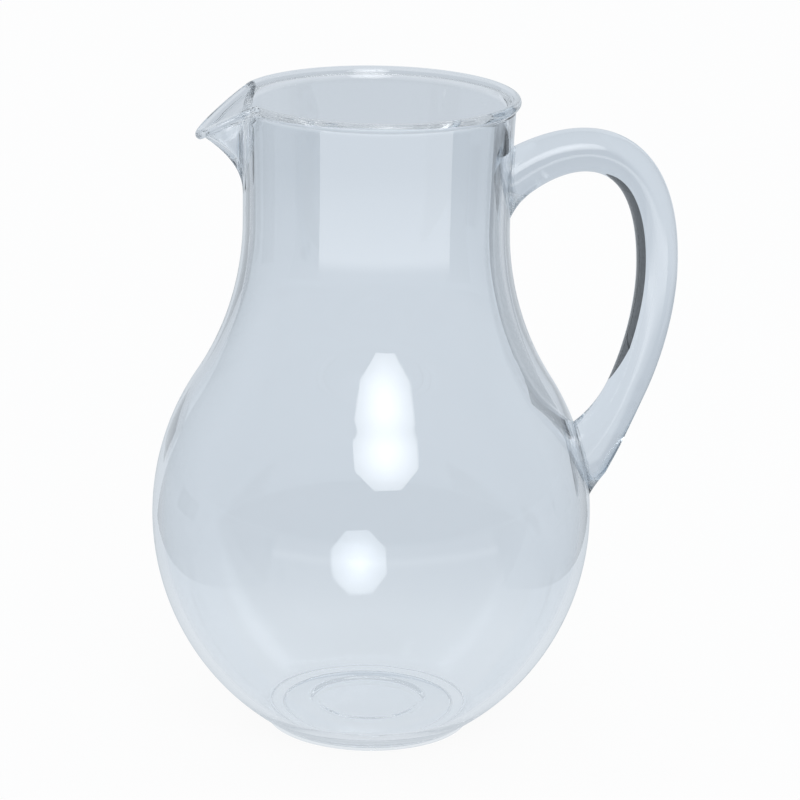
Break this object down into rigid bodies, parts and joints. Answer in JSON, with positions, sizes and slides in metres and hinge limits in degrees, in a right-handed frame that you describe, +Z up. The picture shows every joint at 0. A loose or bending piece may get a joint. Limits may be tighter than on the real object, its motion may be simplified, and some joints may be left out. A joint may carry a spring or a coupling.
{
  "type": "water jug",
  "caption": "Clear plastic table jug with a round belly, drawn-in neck, beaded rim, pulled pouring spout and a solid bar handle cemented on opposite the spout.",
  "frame": {"origin": "centre of the foot, on the plane that the jug stands on", "axes": "+Z up along the jug's axis, +X towards the handle, -X towards the spout"},
  "size_m": [0.1931, 0.1632, 0.24],
  "materials": {
    "clear_body": "clear gloss",
    "clear_handle": "clear gloss",
    "clear_cement": "clear gloss"
  },
  "bodies": {
    "root": {"body": "clear_body", "handle": "clear_handle", "upper_handle_bond": "clear_cement", "lower_handle_bond": "clear_cement"}
  },
  "joints": []
}
